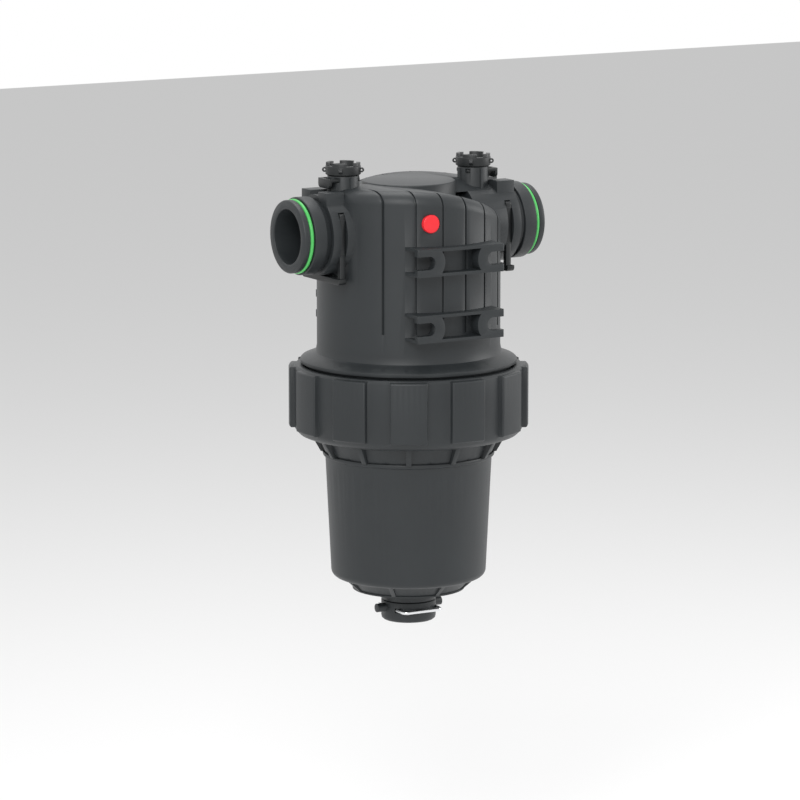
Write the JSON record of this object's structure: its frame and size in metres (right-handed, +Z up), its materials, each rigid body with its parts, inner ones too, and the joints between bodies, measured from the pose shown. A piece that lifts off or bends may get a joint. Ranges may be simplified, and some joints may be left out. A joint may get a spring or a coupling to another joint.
{
  "type": "inline strainer",
  "caption": "Inline bowl strainer with fork-locked spigots, grooved head, slotted brackets, lugged ring nut, tapered bowl, mesh cartridge and drain cap.",
  "frame": {"origin": "on the bowl's axis, at the height of the drain cap's tab, the lowest point", "axes": "+X along the pipe from inlet to outlet, -Y the front with the disc, +Z up"},
  "size_m": [0.2202, 0.1916, 0.3752],
  "materials": {
    "glass_filled_black": "satin",
    "fork_plastic": "satin",
    "cage_plastic": "satin",
    "green_rubber": "smooth",
    "black_rubber": "smooth",
    "red_plastic": "semi-gloss",
    "stainless_wire": "bright drawn",
    "stainless_mesh": "woven"
  },
  "bodies": {
    "head": {"cartridge_bottom_cap": "cage_plastic", "cartridge_cage": "cage_plastic", "cartridge_screen": "stainless_mesh", "cartridge_seal": "black_rubber", "cartridge_top_cap": "cage_plastic", "head": "glass_filled_black", "inlet_adaptor": "glass_filled_black", "inlet_gauge_plug": "fork_plastic", "inlet_gauge_seal": "black_rubber", "inlet_inner_seal": "black_rubber", "inlet_outer_seal": "green_rubber", "mesh_disc": "red_plastic", "outlet_adaptor": "glass_filled_black", "outlet_gauge_plug": "fork_plastic", "outlet_gauge_seal": "black_rubber", "outlet_inner_seal": "black_rubber", "outlet_outer_seal": "green_rubber"},
    "bowl": {"bowl": "glass_filled_black", "bowl_seal": "black_rubber", "drain_cap": "glass_filled_black", "drain_seal": "black_rubber"},
    "ring_nut": {"ring_nut": "glass_filled_black"},
    "drain_fork": {"drain_fork": "stainless_wire"},
    "inlet_fork": {"inlet_fork": "fork_plastic"},
    "outlet_fork": {"outlet_fork": "fork_plastic"},
    "inlet_gauge_fork": {"inlet_gauge_fork": "fork_plastic"},
    "outlet_gauge_fork": {"outlet_gauge_fork": "fork_plastic"}
  },
  "joints": [
    {"name": "bowl_lower", "type": "slide", "parent": "head", "child": "bowl", "axis": [0, 0, -1], "range_m": [0, 0.2]},
    {"name": "ring_nut_turn", "type": "hinge", "parent": "bowl", "child": "ring_nut", "pos_m": [0, 0, 0.18], "axis": [0, 0, 1], "continuous": true},
    {"name": "drain_fork_pull", "type": "slide", "parent": "bowl", "child": "drain_fork", "axis": [0, -1, 0], "range_m": [0, 0.045]},
    {"name": "inlet_fork_pull", "type": "slide", "parent": "head", "child": "inlet_fork", "axis": [0, 0, -1], "range_m": [0, 0.052]},
    {"name": "outlet_fork_pull", "type": "slide", "parent": "head", "child": "outlet_fork", "axis": [0, 0, -1], "range_m": [0, 0.052]},
    {"name": "inlet_gauge_fork_pull", "type": "slide", "parent": "head", "child": "inlet_gauge_fork", "axis": [-1, 0, 0], "range_m": [0, 0.03]},
    {"name": "outlet_gauge_fork_pull", "type": "slide", "parent": "head", "child": "outlet_gauge_fork", "axis": [1, 0, 0], "range_m": [0, 0.03]}
  ]
}
